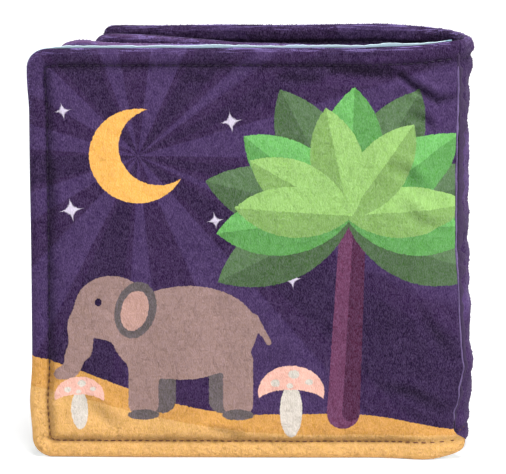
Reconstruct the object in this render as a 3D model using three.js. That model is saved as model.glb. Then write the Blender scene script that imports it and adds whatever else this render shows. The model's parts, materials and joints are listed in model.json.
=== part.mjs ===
// A soft crinkle cloth book for a baby, standing upright and closed.
// Two double spreads of padded cloth are sewn together at one upright seam. Three leaves lie to the
// left of the seam; the back cover first bows out to the right in a soft loop and then runs left.
// Each leaf is two cloth panels with a crinkle film between them, sewn all round by a lockstitch
// whose threads lie in a groove on both faces.
// Millimetres. +X runs from the free edges to the seam, +Y from the front cover to the back, +Z up.
import * as THREE from 'three';

// Overall sizes of the pages
const pageWidth = 166; // front cover, free edge to seam
const coverHeight = 165;
const innerLeafHeight = 163;
const bookDepth = 40; // front face to back face when the book stands closed
const leafThickness = 5; // at the crown of a leaf, both panels
const pieceGap = 0.3; // between cloth pieces that touch

// Free edges of the leaves behind the front cover
const secondLeafSetback = 9.5;
const thirdLeafSetback = 22;
const backCoverSetback = 27;
const secondLeafSpread = 2.4; // how far its free edge stands behind its root
const thirdLeafSpread = 12.4;

// Sewn margin of a leaf: a rolled rim, a stitch groove, then the padded field
const cornerRadius = 10;
const grooveInset = 7;
const standCut = 0.5; // flat cut along the bottom rim
const crownInset = 24;
const rimInsetShares = [0, 0.14, 0.43, 0.79, 1, 1.21]; // of grooveInset
const rimHalfShares = [0.2, 0.62, 0.88, 0.8, 0.48, 0.78]; // of half the leaf's thickness
const pocketHalfShare = 0.86;

// The seam and the roots of the leaves round it
const seamCoreRadius = 2.5;
const seamNotchRadius = 1.3;
const seamSides = 16;
const seamNotchSteps = [4, 13]; // which corners of the core are notched, counted from +X
const leafRootHalf = 0.5; // half the pressed thickness at a leaf's root
const rootFan = THREE.MathUtils.degToRad(28); // between the roots of neighbouring leaves
const bendRun = 28; // stretch beside the seam over which a leaf bends and thickens
const rootPullShare = 0.28; // of bendRun
const fieldPullShare = 0.36; // of bendRun

// The bowed stretch of the back cover between the seam and its fold
const loopRootAngle = THREE.MathUtils.degToRad(62.5);
const loopRootPull = 18.6;
const loopFoldPull = 17;
const foldSetback = 17; // from the seam back to the fold
const foldRootHalf = 0.65;
const loopRootTaper = 12;
const foldTaper = 9;
const loopStations = 7;

// A root's edge is rounded to this outline
const roundStartShare = 0.8;
const roundHalfShare = 0.6;

// Film and threads
const filmThickness = 0.3;
const filmInset = 10.8;
const threadRadius = 0.4;
const seamThreadRadius = 0.25;
const grooveSlopeRoom = 1.2; // on a sloping wall the gap is measured square to the slope

const leafHalf = leafThickness / 2;
const leafPitch = leafThickness + pieceGap;
const seam = new THREE.Vector2(pageWidth, leafHalf + leafPitch);
const fold = new THREE.Vector2(pageWidth - foldSetback, bookDepth - leafHalf);
const rootRadius = seamCoreRadius + pieceGap;
const rimInsets = [...rimInsetShares.map((share) => share * grooveInset), cornerRadius, crownInset];
const rimHalves = [...rimHalfShares, pocketHalfShare, 1].map((share) => share * leafHalf);
const innerHalf = pieceGap / 2;
const pocketHalf = filmThickness / 2 + pieceGap;

// Value at x on the straight runs through the points (xs, ys), level beyond both ends.
function along(xs, ys, x) {
  if (x <= xs[0]) return ys[0];
  const next = xs.findIndex((known) => known > x);
  if (next < 0) return ys[ys.length - 1];
  const share = (x - xs[next - 1]) / (xs[next] - xs[next - 1]);
  return THREE.MathUtils.lerp(ys[next - 1], ys[next], share);
}

// Insets from two meeting edges, moved onto the round corner between them.
function roundCorner(insetA, insetB) {
  const near = Math.min(insetA, insetB);
  const far = Math.max(insetA, insetB);
  if (far >= cornerRadius) return [insetA, insetB];
  const turn = (Math.PI / 4) * ((cornerRadius - far) / (cornerRadius - near));
  const nearOut = cornerRadius - (cornerRadius - near) * Math.cos(turn);
  const farOut = cornerRadius - (cornerRadius - near) * Math.sin(turn);
  return insetA <= insetB ? [nearOut, farOut] : [farOut, nearOut];
}

// The middle line of a sheet seen from above, and places at a distance from its root and an offset.
class SheetLine {
  constructor(curves) {
    this.path = new THREE.CurvePath();
    curves.forEach((curve) => this.path.add(curve));
    this.length = this.path.getLength();
  }

  point(distance, offset) {
    const share = THREE.MathUtils.clamp(distance / this.length, 0, 1);
    const place = this.path.getPoint(share);
    const tangent = this.path.getTangent(share).normalize();
    return place.add(new THREE.Vector2(-tangent.y, tangent.x).multiplyScalar(offset));
  }
}

// A leaf that leaves the seam at rootAngle, bends to its own plane and runs straight to its free edge.
function leafLine(rootAngle, bendEnd, freeEnd) {
  const rootWay = new THREE.Vector2(Math.cos(rootAngle), Math.sin(rootAngle));
  const root = seam.clone().addScaledVector(rootWay, rootRadius);
  const fieldWay = freeEnd.clone().sub(bendEnd).normalize();
  const rootPull = root.clone().addScaledVector(rootWay, bendRun * rootPullShare);
  const fieldPull = bendEnd.clone().addScaledVector(fieldWay, -bendRun * fieldPullShare);
  return new SheetLine([
    new THREE.CubicBezierCurve(root, rootPull, fieldPull, bendEnd),
    new THREE.LineCurve(bendEnd, freeEnd),
  ]);
}

const bendX = seam.x - bendRun;
const secondBend = new THREE.Vector2(bendX, seam.y);
const frontBend = new THREE.Vector2(bendX, leafHalf);
const thirdBend = new THREE.Vector2(bendX, seam.y + leafPitch + pieceGap);
const frontLine = leafLine(Math.PI + rootFan, frontBend, new THREE.Vector2(0, leafHalf));
const secondEnd = new THREE.Vector2(secondLeafSetback, seam.y + secondLeafSpread);
const secondLine = leafLine(Math.PI, secondBend, secondEnd);
const thirdEnd = new THREE.Vector2(thirdLeafSetback, seam.y + thirdLeafSpread + secondLeafSpread);
const thirdLine = leafLine(Math.PI - rootFan, thirdBend, thirdEnd);

const loopWay = new THREE.Vector2(Math.cos(loopRootAngle), Math.sin(loopRootAngle));
const loopRoot = seam.clone().addScaledVector(loopWay, rootRadius);
const loopEnd = new THREE.Vector2(fold.x + foldRootHalf + pieceGap, fold.y);
const loopLine = new SheetLine([
  new THREE.CubicBezierCurve(
    loopRoot,
    loopRoot.clone().addScaledVector(loopWay, loopRootPull),
    new THREE.Vector2(loopEnd.x + loopFoldPull, fold.y),
    loopEnd,
  ),
]);
const backLine = new SheetLine([
  new THREE.LineCurve(
    new THREE.Vector2(fold.x + foldRootHalf * roundStartShare, fold.y),
    new THREE.Vector2(backCoverSetback, fold.y),
  ),
]);

// Where a sheet has a root, its half-thickness there and the run over which it thickens.
const seamRoot = { half: leafRootHalf, taper: bendRun };
const loopSeamRoot = { half: leafRootHalf, taper: loopRootTaper };
const foldRoot = { half: foldRootHalf, taper: foldTaper };

const sheets = {
  front_cover: { line: frontLine, height: coverHeight, root: seamRoot },
  leaf_2: { line: secondLine, height: innerLeafHeight, root: seamRoot },
  leaf_3: { line: thirdLine, height: innerLeafHeight, root: seamRoot },
  back_cover: { line: backLine, height: coverHeight, root: foldRoot },
  spine_loop: { line: loopLine, height: coverHeight, root: loopSeamRoot, farRoot: foldRoot },
};

// Half-thickness that the roots allow at a distance along the sheet.
function rootLimit(root, distance) {
  const roundRun = root.half * roundStartShare;
  if (distance < roundRun) {
    return root.half * THREE.MathUtils.lerp(roundHalfShare, 1, distance / roundRun);
  }
  return along([roundRun, root.taper], [root.half, leafHalf], distance);
}

function outerHalf(sheet, inset, distance) {
  let limit = rootLimit(sheet.root, distance);
  if (sheet.farRoot) {
    limit = Math.min(limit, rootLimit(sheet.farRoot, sheet.line.length - distance));
  }
  return Math.min(along(rimInsets, rimHalves, inset), limit);
}

function panelInnerHalf(sheet, inset, distance) {
  const inPocket = !sheet.farRoot && inset >= cornerRadius && distance >= sheet.root.taper;
  return inPocket ? pocketHalf : innerHalf;
}

// Distances along a sheet at which its panels have an upright line of corners.
function stationsOf(sheet) {
  const { line, root, farRoot } = sheet;
  if (farRoot) {
    const stations = [0, root.half * roundStartShare];
    for (let step = 1; step < loopStations; step += 1) {
      stations.push((line.length * step) / loopStations);
    }
    return [...stations, line.length - farRoot.half * roundStartShare, line.length];
  }
  const taperStops = [1 / 3, 2 / 3, 1].map((share) => share * root.taper);
  const rimStops = [...rimInsets].reverse().map((inset) => line.length - inset);
  const middle = (root.taper + rimStops[0]) / 2;
  return [0, root.half * roundStartShare, ...taperStops, middle, ...rimStops];
}

// Heights at which a panel has a level line of corners, as insets from the bottom or top edge.
function levelsOf(sheet) {
  const low = [standCut, ...rimInsets.filter((inset) => inset > standCut)];
  const middle = { inset: sheet.height / 2 + standCut, top: false };
  return [
    ...low.map((inset) => ({ inset, top: false })),
    middle,
    ...[...rimInsets].reverse().map((inset) => ({ inset, top: true })),
  ];
}

function heightAt(sheet, level, inset) {
  return level.top ? sheet.height - inset : inset - standCut;
}

// One padded panel: an outer face with rim, groove and crown, and an inner face beside the film.
// side is 1 on the left of the sheet's line as it leaves its root, and -1 on the right.
function panelGeometry(sheet, side) {
  const stations = stationsOf(sheet);
  const levels = levelsOf(sheet);
  const rows = levels.length;
  const positions = [];
  const layerStart = stations.length * rows;
  [outerHalf, panelInnerHalf].forEach((halfOf) => {
    stations.forEach((distance) => {
      levels.forEach((level) => {
        const endInset = sheet.farRoot ? Infinity : sheet.line.length - distance;
        const inset = Math.min(endInset, level.inset);
        const [end, up] = roundCorner(endInset, level.inset);
        const reach = sheet.farRoot ? distance : sheet.line.length - end;
        const place = sheet.line.point(reach, side * halfOf(sheet, inset, distance));
        positions.push(place.x, place.y, heightAt(sheet, level, up));
      });
    });
  });

  const index = [];
  const quad = (a, b, c, d) => index.push(...(side > 0 ? [a, c, b, a, d, c] : [a, b, c, a, c, d]));
  const corner = (station, row, layer) => layer * layerStart + station * rows + row;
  for (let s = 0; s < stations.length - 1; s += 1) {
    for (let r = 0; r < rows - 1; r += 1) {
      quad(corner(s, r, 0), corner(s + 1, r, 0), corner(s + 1, r + 1, 0), corner(s, r + 1, 0));
      quad(corner(s, r, 1), corner(s, r + 1, 1), corner(s + 1, r + 1, 1), corner(s + 1, r, 1));
    }
    const last = rows - 1;
    quad(corner(s, 0, 0), corner(s, 0, 1), corner(s + 1, 0, 1), corner(s + 1, 0, 0));
    quad(corner(s, last, 0), corner(s + 1, last, 0), corner(s + 1, last, 1), corner(s, last, 1));
  }
  for (let r = 0; r < rows - 1; r += 1) {
    const end = stations.length - 1;
    quad(corner(0, r, 0), corner(0, r + 1, 0), corner(0, r + 1, 1), corner(0, r, 1));
    quad(corner(end, r, 0), corner(end, r, 1), corner(end, r + 1, 1), corner(end, r + 1, 0));
  }
  return bufferOf(positions, index);
}

function bufferOf(positions, index) {
  const geometry = new THREE.BufferGeometry();
  geometry.setAttribute('position', new THREE.Float32BufferAttribute(positions, 3));
  geometry.setIndex(index);
  geometry.computeVertexNormals();
  return geometry;
}

// A thread of diamond section laid through the points of a stitch groove.
// Each stop is a distance along the sheet and a height.
function threadGeometry(sheet, side, stops) {
  const grooveHalf = along(rimInsets, rimHalves, grooveInset);
  const lift = side * (grooveHalf + pieceGap * grooveSlopeRoom + threadRadius);
  const spots = stops.map(([distance, height]) => {
    const place = sheet.line.point(distance, lift);
    return new THREE.Vector3(place.x, place.y, height);
  });
  const normals = stops.map(([distance]) => {
    const out = sheet.line.point(distance, side).sub(sheet.line.point(distance, 0));
    return new THREE.Vector3(out.x, out.y, 0).normalize();
  });
  const positions = [];
  spots.forEach((spot, k) => {
    const before = spots[Math.max(k - 1, 0)];
    const after = spots[Math.min(k + 1, spots.length - 1)];
    const way = after.clone().sub(before).normalize();
    const across = normals[k].clone().cross(way).normalize();
    [across, normals[k], across.clone().negate(), normals[k].clone().negate()].forEach((arm) => {
      positions.push(...spot.clone().addScaledVector(arm, threadRadius).toArray());
    });
  });
  return bufferOf(positions, tubeIndex(spots.length));
}

function tubeIndex(ringCount) {
  const sides = 4;
  const index = [];
  for (let ring = 0; ring < ringCount - 1; ring += 1) {
    for (let k = 0; k < sides; k += 1) {
      const a = ring * sides + k;
      const b = ring * sides + ((k + 1) % sides);
      index.push(a, b, b + sides, a, b + sides, a + sides);
    }
  }
  const last = (ringCount - 1) * sides;
  index.push(0, 2, 1, 0, 3, 2, last, last + 1, last + 2, last, last + 2, last + 3);
  return index;
}

// Stops of the lockstitch that runs from the root along the bottom, up the free edge and back.
function leafStitchStops(sheet) {
  const { line, height } = sheet;
  const turn = [0, 0.5, 1];
  const farInset = (share) => THREE.MathUtils.lerp(cornerRadius, grooveInset, share);
  const bottomRun = turn.map((share) => roundCorner(farInset(share), grooveInset));
  const sideRun = turn.slice(0, -1).reverse().map((share) => roundCorner(grooveInset, farInset(share)));
  const cornerStops = [...bottomRun, ...sideRun];
  const low = cornerStops.map(([end, up]) => [line.length - end, up - standCut]);
  const high = [...cornerStops].reverse().map(([end, up]) => [line.length - end, height - up]);
  return [
    [sheet.root.taper, grooveInset - standCut],
    ...low,
    ...high,
    [sheet.root.taper, height - grooveInset],
  ];
}

function cloth(colour) {
  return new THREE.MeshStandardMaterial({ color: colour, roughness: 0.95, metalness: 0 });
}

const nightPlush = cloth(0x4a3767);
const dayPrint = cloth(0xbee1f0);
const duskPrint = cloth(0xb79ac0);
const nightPrint = cloth(0x3e2a54);
const stitchThread = cloth(0x2d193c);
const film = new THREE.MeshStandardMaterial({ color: 0xdfe3e6, roughness: 0.35, metalness: 0 });

const book = new THREE.Group();

function addPiece(name, geometry, material) {
  const mesh = new THREE.Mesh(geometry, material);
  mesh.name = name;
  book.add(mesh);
  return mesh;
}

const facings = {
  front_cover: { names: ['plush', 'lining'], materials: [nightPlush, dayPrint] },
  leaf_2: { names: ['front_panel', 'back_panel'], materials: [dayPrint, duskPrint] },
  leaf_3: { names: ['front_panel', 'back_panel'], materials: [duskPrint, nightPrint] },
  back_cover: { names: ['lining', 'plush'], materials: [nightPrint, nightPlush] },
  spine_loop: { names: ['lining', 'plush'], materials: [nightPrint, nightPlush] },
};

Object.entries(facings).forEach(([sheetName, { names, materials }]) => {
  names.forEach((name, k) => {
    const side = k === 0 ? 1 : -1;
    addPiece(`${sheetName}_${name}`, panelGeometry(sheets[sheetName], side), materials[k]);
  });
});

// The film lies flat in the pocket between the two panels, on the straight run of the leaf.
function filmMesh(name, sheet) {
  const near = sheet.root.taper + filmInset - cornerRadius;
  const far = sheet.line.length - filmInset;
  const tall = sheet.height - 2 * filmInset;
  const geometry = new THREE.BoxGeometry(far - near, filmThickness, tall);
  const mesh = addPiece(name, geometry, film);
  const start = sheet.line.point(near, 0);
  const end = sheet.line.point(far, 0);
  mesh.position.set((start.x + end.x) / 2, (start.y + end.y) / 2, sheet.height / 2);
  mesh.rotation.z = end.clone().sub(start).angle();
}

const threadNames = ['needle_thread', 'bobbin_thread'];
['front_cover', 'leaf_2', 'leaf_3', 'back_cover'].forEach((sheetName) => {
  const sheet = sheets[sheetName];
  filmMesh(`${sheetName}_crinkle_film`, sheet);
  threadNames.forEach((name, k) => {
    const side = k === 0 ? 1 : -1;
    const stops = leafStitchStops(sheet);
    addPiece(`${sheetName}_${name}`, threadGeometry(sheet, side, stops), stitchThread);
  });
});

// On the loop the lockstitch is two level runs, one along each edge, between the pressed roots.
const loopSheet = sheets.spine_loop;
const loopStops = stationsOf(loopSheet).filter(
  (distance) => distance >= loopRootTaper && distance <= loopSheet.line.length - foldTaper,
);
[
  ['bottom', grooveInset - standCut],
  ['top', coverHeight - grooveInset],
].forEach(([edge, height]) => {
  threadNames.forEach((name, k) => {
    const side = k === 0 ? -1 : 1;
    const stops = loopStops.map((distance) => [distance, height]);
    const geometry = threadGeometry(loopSheet, side, stops);
    addPiece(`spine_loop_${edge}_${name}`, geometry, stitchThread);
  });
});

// The seam: the allowances of both spreads gathered into one upright cord, notched for each thread.
const coreOutline = new THREE.Shape(
  Array.from({ length: seamSides }, (_, k) => {
    const angle = (2 * Math.PI * k) / seamSides;
    const radius = seamNotchSteps.includes(k) ? seamNotchRadius : seamCoreRadius;
    return new THREE.Vector2(radius * Math.cos(angle), radius * Math.sin(angle));
  }),
);
const coreGeometry = new THREE.ExtrudeGeometry(coreOutline, {
  depth: coverHeight,
  bevelEnabled: false,
});
addPiece('spine_seam_core', coreGeometry, nightPlush).position.set(seam.x, seam.y, 0);

const notchStep = (2 * Math.PI) / seamSides;
const notchFloor = new THREE.Vector2(seamNotchRadius, 0);
const notchLip = new THREE.Vector2(
  seamCoreRadius * Math.cos(notchStep),
  seamCoreRadius * Math.sin(notchStep),
);
const notchHalfAngle = notchLip.clone().sub(notchFloor).angle();
const threadOut = seamNotchRadius + (seamThreadRadius + pieceGap) / Math.sin(notchHalfAngle);
seamNotchSteps.forEach((step, k) => {
  const angle = notchStep * step;
  const tall = coverHeight - 2 * grooveInset;
  const geometry = new THREE.CylinderGeometry(seamThreadRadius, seamThreadRadius, tall, 6);
  const thread = addPiece(`spine_seam_${threadNames[1 - k]}`, geometry, stitchThread);
  thread.rotation.x = Math.PI / 2;
  thread.position.set(
    seam.x + threadOut * Math.cos(angle),
    seam.y + threadOut * Math.sin(angle),
    coverHeight / 2,
  );
});

// The origin is under the middle of the closed book, on the surface it stands on.
const bounds = new THREE.Box3().setFromObject(book);
const middle = bounds.getCenter(new THREE.Vector3());
book.position.set(-middle.x, -middle.y, -bounds.min.z);

export default book;
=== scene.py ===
"""A soft crinkle cloth book standing closed: plush covers, printed linings and a bowed spine."""

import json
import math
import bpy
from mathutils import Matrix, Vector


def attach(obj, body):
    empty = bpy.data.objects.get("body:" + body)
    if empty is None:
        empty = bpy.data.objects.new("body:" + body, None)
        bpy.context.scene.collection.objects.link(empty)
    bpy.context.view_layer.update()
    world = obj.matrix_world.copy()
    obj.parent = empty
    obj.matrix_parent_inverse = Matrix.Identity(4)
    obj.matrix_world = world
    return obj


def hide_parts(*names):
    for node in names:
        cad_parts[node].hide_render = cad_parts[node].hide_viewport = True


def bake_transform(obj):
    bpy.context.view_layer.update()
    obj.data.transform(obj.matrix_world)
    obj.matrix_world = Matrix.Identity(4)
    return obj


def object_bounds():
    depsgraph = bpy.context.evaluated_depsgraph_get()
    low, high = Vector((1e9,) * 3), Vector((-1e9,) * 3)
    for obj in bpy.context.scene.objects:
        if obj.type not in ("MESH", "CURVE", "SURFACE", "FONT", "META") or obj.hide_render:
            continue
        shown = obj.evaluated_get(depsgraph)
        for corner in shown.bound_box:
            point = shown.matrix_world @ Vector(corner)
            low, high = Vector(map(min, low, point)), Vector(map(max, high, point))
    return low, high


bl_info = {
    "name": "Crinkle cloth book",
    "version": (1, 0, 0),
    "blender": (4, 5, 0),
    "location": "View3D > Sidebar > Cloth book",
    "description": "Dresses the closed cloth book in plush, printed lining and stitches",
    "category": "Add Mesh",
}

from collections import namedtuple

import bmesh
import bpy
import numpy as np
from mathutils import Matrix, Vector, geometry, noise

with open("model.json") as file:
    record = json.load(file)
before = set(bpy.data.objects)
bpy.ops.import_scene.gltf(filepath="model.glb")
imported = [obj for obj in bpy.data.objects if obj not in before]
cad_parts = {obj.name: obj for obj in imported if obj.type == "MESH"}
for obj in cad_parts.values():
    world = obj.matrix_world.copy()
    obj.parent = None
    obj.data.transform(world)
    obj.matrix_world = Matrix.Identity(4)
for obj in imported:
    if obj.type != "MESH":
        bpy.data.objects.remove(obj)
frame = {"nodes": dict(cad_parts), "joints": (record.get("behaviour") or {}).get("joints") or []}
CAD_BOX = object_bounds()

MM = 0.001
PRINT_UNIT = 0.1  # a printed picture is drawn in units of this many metres
JOINTS = {joint["name"]: joint for joint in frame["joints"]}
SEAM = np.array(JOINTS["front_cover_turn"]["pos_m"][:2])
FOLD = np.array(JOINTS["back_cover_turn"]["pos_m"][:2])
RIM_RISE = 2.6 * MM  # the soft rims stand this far over the solid ones
HEIGHT = CAD_BOX[1].z + RIM_RISE
FREE_X = CAD_BOX[0].x
FRONT_Y = CAD_BOX[0].y


def srgb(red, green, blue):
    """A colour as it is seen, 0 to 255, as the linear numbers that a shader takes."""
    parts = [part / 255 for part in (red, green, blue)]
    return tuple(p / 12.92 if p <= 0.04045 else ((p + 0.055) / 1.055) ** 2.4 for p in parts)


def length_property(name, description, default_mm, low_mm=0.0, high_mm=50.0):
    return bpy.props.FloatProperty(
        name=name, description=description, subtype="DISTANCE", unit="LENGTH",
        default=default_mm * MM, min=low_mm * MM, max=high_mm * MM,
    )


def colour_property(name, description, *rgb):
    return bpy.props.FloatVectorProperty(
        name=name, description=description, default=srgb(*rgb), min=0, max=1, subtype="COLOR"
    )


class ClothBookSizes(bpy.types.PropertyGroup):
    """Sizes of the sewn leaves"""

    crown: length_property("Crown", "Half the thickness of a leaf in its middle", 2.5)
    rim_roll: length_property("Rim roll", "Radius of the rolled rim", 2.4)
    groove_inset: length_property("Groove inset", "From the rim to the stitch line", 7.0)
    groove_depth: length_property("Groove depth", "How far the stitches pull the cloth in", 1.6)
    groove_width: length_property("Groove width", "Half width of the pulled-in valley", 1.1)
    seam_turn: bpy.props.FloatProperty(
        name="Seam turn", description="How far in front of the rim's top the two panels of a leaf meet",
        default=math.radians(12), min=-1.5, max=1.5, subtype="ANGLE", unit="ROTATION",
    )
    stitch_pitch: length_property("Stitch pitch", "From one stitch to the next", 2.7)
    stitch_radius: length_property("Thread radius", "Half the thickness of the thread", 0.21)
    pile: length_property("Pile length", "Length of the plush pile", 0.42)
    grid: length_property("Grid", "Size of a mesh cell on the leaves", 1.25, 0.5, 5.0)


class ClothBookColours(bpy.types.PropertyGroup):
    """Colours of the cloth, the print and the thread"""

    night: colour_property("Night", "Ground colour of the cover", 62, 43, 79)
    night_dark: colour_property("Dark night", "Darker wedges of the night sky", 53, 38, 69)
    ray: colour_property("Ray", "Lighter wedges of the night sky", 80, 61, 104)
    moon: colour_property("Moon", "The crescent on the cover", 250, 186, 98)
    sand: colour_property("Sand", "The hills of the cover", 228, 178, 110)
    sand_dark: colour_property("Dark sand", "Shaded sides of the hills", 216, 160, 88)
    star: colour_property("Star", "Small stars", 218, 208, 228)
    leaf_light: colour_property("Light leaf", "Lit leaves of the tree", 158, 202, 118)
    leaf_mid: colour_property("Mid leaf", "Leaves of the tree", 116, 186, 104)
    leaf_dark: colour_property("Dark leaf", "Leaves in shade", 96, 124, 88)
    trunk: colour_property("Trunk", "Tree trunk", 112, 66, 98)
    trunk_dark: colour_property("Dark trunk", "Shaded side of the trunk", 84, 46, 74)
    stone: colour_property("Stone", "Grey-brown of the elephant", 160, 132, 127)
    stone_dark: colour_property("Dark stone", "Darker grey-brown", 106, 97, 99)
    cream: colour_property("Cream", "Cream parts of the print", 224, 215, 204)
    pink: colour_property("Pink", "Pink parts of the print", 246, 192, 176)
    day: colour_property("Day sky", "Sky of the day pages", 164, 202, 222)
    grass: colour_property("Grass", "Meadow of the day pages", 140, 190, 110)
    dusk: colour_property("Dusk sky", "Sky of the dusk pages", 120, 84, 138)
    thread: colour_property("Thread", "Sewing thread", 42, 25, 58)
    rim_white: colour_property("Pale rim", "Unprinted rim of the smooth lining", 224, 246, 255)
    base_cloth: colour_property("Backing", "Pale backing seen along the seams", 142, 122, 184)


def sizes():
    return bpy.context.scene.cloth_book_sizes


def colours():
    return bpy.context.scene.cloth_book_colours


# Shapes of the leaves


def smooth_step(low, high, x):
    t = np.clip((x - low) / (high - low), 0, 1)
    return t * t * (3 - 2 * t)


def bell(x, middle, width):
    return np.exp(-(((x - middle) / width) ** 2))


SEED_STRIDE = (7.3, 3.1, 5.7)  # how far apart the noises of two seeds are read


def noise_at(points, scale, seed):
    """Smooth noise from -1 to 1 at each point, with lumps about scale metres across."""
    shift = Vector([seed * stride for stride in SEED_STRIDE])
    return np.array([noise.noise(Vector(p) / scale + shift) for p in points])


def layered_noise(points, layers, seed):
    """A sum of noises, each given as its height, the size of its lumps in mm and its own seed."""
    return sum(height * noise_at(points, size * MM, seed + own) for height, size, own in layers)


def table(x, places_mm, values_mm):
    """Values read from a table of millimetres, for x in metres."""
    return np.interp(x, np.array(places_mm) * MM, np.array(values_mm)) * MM


class Sheet:
    """A leaf seen from above: its middle line from the root to the free end, and how it is shaped."""

    def __init__(self, name, curves, seed, corner, root_run, rise, sink):
        line = np.vstack([curves[0], *(curve[1:] for curve in curves[1:])])
        steps = np.linalg.norm(np.diff(line, axis=0), axis=1)
        way = np.gradient(line, axis=0)
        way /= np.linalg.norm(way, axis=1)[:, None]
        self.name = name
        self.line = line
        self.normal = np.column_stack([-way[:, 1], way[:, 0]])
        self.at = np.concatenate([[0], np.cumsum(steps)])
        self.length = float(self.at[-1])
        self.seed = seed
        self.corner = corner * MM
        self.root_run = root_run
        self.rise = rise
        self.sink = sink

    def place(self, distance):
        """Points of the middle line and its normals at these distances from the root."""
        spots = [np.interp(distance, self.at, self.line[:, k]) for k in (0, 1)]
        normals = [np.interp(distance, self.at, self.normal[:, k]) for k in (0, 1)]
        return np.column_stack(spots), np.column_stack(normals)


def bezier(start, start_pull, end_pull, end, count=40):
    corners = [Vector((*p, 0)) for p in (start, start_pull, end_pull, end)]
    return np.array([(p.x, p.y) for p in geometry.interpolate_bezier(*corners, count)])


def straight(start, end, count=60):
    share = np.linspace(0, 1, count)[:, None]
    return np.array(start) * (1 - share) + np.array(end) * share


ROOT_RADIUS = 2.8 * MM  # the leaves' roots stand this far from the seam's axis
ROOT_FAN = math.radians(28)  # between the roots of neighbouring leaves
LOOP_TURN = math.radians(62.5)  # the way in which the bowed spine leaves the seam
LEAF_HALF = 2.5 * MM  # half the thickness of a leaf
LEAF_PITCH = 5.3 * MM  # between the middle lines of the inner leaves
LEAF_GAP = 0.3 * MM  # more room between them
FRONT_BEND, INNER_BEND = 18 * MM, 28 * MM  # beside the seam a cover and an inner leaf bend over this run
ROOT_PULL, FIELD_PULL = 0.28, 0.36  # how far that bend is drawn at its ends, as shares of its run
LOOP_PULL, FOLD_PULL = 18.6 * MM, 17 * MM  # how far the bowed spine is drawn at its ends
# Where the middle lines end at the free edges
SECOND_FREE = (FREE_X + 9.8 * MM, SEAM[1] + 3.6 * MM)
THIRD_FREE = (FREE_X + 24.6 * MM, SEAM[1] + 15 * MM)
BACK_FREE = (FREE_X + 27.8 * MM, FOLD[1])

# Of each leaf, in mm: the radius of its corners, the run over which the seam presses its left and its
# right side, how far its top rim stands over the book's height and how far its bottom rim is lifted,
# both by the distance from the free end.
NO_LIFT = ((0, 200), (0, 0))
LEAF_SHAPES = {
    "front_cover": (8, (4.5, 12), ((0, 60, 130, 150, 166), (-1.0, -0.7, -0.2, 0.6, 1.9)), NO_LIFT),
    "leaf_2": (
        6, (13, 13),
        (
            (0, 3, 6, 9, 12, 16, 22, 34, 60, 95, 160),
            (-1.8, -1.2, -0.6, -0.1, 0.0, -0.7, -1.0, -1.4, -1.4, -1.8, -1.4),
        ),
        NO_LIFT,
    ),
    "leaf_3": (
        4.5, (13, 13), ((0, 8, 22, 36, 57, 85, 140), (-0.8, 0.0, -0.2, -1.3, -2.5, -2.6, -2.2)), NO_LIFT,
    ),
    "back_cover": (
        4, (5, 5),
        (
            (0, 60, 110, 130, 139, 146, 152, 156, 162, 168),
            (-0.9, -0.4, 0.2, -1.0, -1.5, -1.5, -0.6, 0.3, 1.2, 1.7),
        ),
        ((0, 125, 146, 153, 162, 168), (0, 0, 2.0, 3.0, 2.4, 1.0)),
    ),
}


def way_to(angle):
    return np.array([math.cos(angle), math.sin(angle)])


def leaf_curves(root_angle, bend_run, bend_y, free):
    """The middle line of a leaf that leaves the seam at root_angle and runs to its free edge."""
    root = SEAM + ROOT_RADIUS * way_to(root_angle)
    bend = np.array([SEAM[0] - bend_run, bend_y])
    field = (free - bend) / np.linalg.norm(free - bend)
    pulls = root + ROOT_PULL * bend_run * way_to(root_angle), bend - FIELD_PULL * bend_run * field
    return [bezier(root, *pulls, bend), straight(bend, free)]


def make_sheets():
    """The four leaves by name, the last one with the bowed spine as its first stretch."""
    front_y = FRONT_Y + LEAF_HALF
    third_y = SEAM[1] + LEAF_PITCH + LEAF_GAP
    root = SEAM + ROOT_RADIUS * way_to(LOOP_TURN)
    loop = bezier(root, root + LOOP_PULL * way_to(LOOP_TURN), (FOLD[0] + FOLD_PULL, FOLD[1]), FOLD)
    curves = {
        "front_cover": leaf_curves(math.pi + ROOT_FAN, FRONT_BEND, front_y, (FREE_X, front_y)),
        "leaf_2": leaf_curves(math.pi, INNER_BEND, SEAM[1], SECOND_FREE),
        "leaf_3": leaf_curves(math.pi - ROOT_FAN, INNER_BEND, third_y, THIRD_FREE),
        "back_cover": [loop, straight(FOLD, BACK_FREE)],
    }
    return {
        name: Sheet(name, curves[name], seed, *shape)
        for seed, (name, shape) in enumerate(LEAF_SHAPES.items(), 1)
    }


# Valleys pressed into the front cover beside the spine: places in mm from the free edge and up, depth
# and width in mm
FRONT_FOLDS = (
    (((118, 158.0), (134, 157.2), (145, 156.4)), 1.5, 2.1),
    (((144, 156.4), (149.2, 151.8), (153.9, 148.5), (157.6, 146.0), (164, 146.9)), 2.6, 1.25),
    (((148, 141.4), (153.9, 138.3), (156.8, 134.0)), 1.2, 1.5),
    (((141, 121.0), (147, 117.5), (152, 110.5)), 0.81, 2.2),
    (((146, 103.5), (152, 98.0), (160, 95.0)), 0.68, 2.2),
    (((151, 62.0), (158, 50.0), (161, 42.0)), 0.81, 2.0),
    (((137, 30.0), (149, 27.0), (160, 20.5)), 0.94, 2.0),
    (((96, 155.4), (112, 154.6)), 0.68, 1.5),
    (((58, 155.2), (70, 154.4)), 0.54, 1.5),
    (((8.6, 120.0), (9.4, 98.0)), 0.54, 1.5),
    (((22, 24.0), (34, 12.0)), 0.68, 2.6),
    (((70, 12.0), (82, 10.2)), 0.68, 1.5),
)
FOLD_LIP = 0.35  # height of the lips beside a valley, as a share of its depth
FOLD_FADE = 0.06  # share of its length over which each end of a valley keeps one depth


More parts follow.
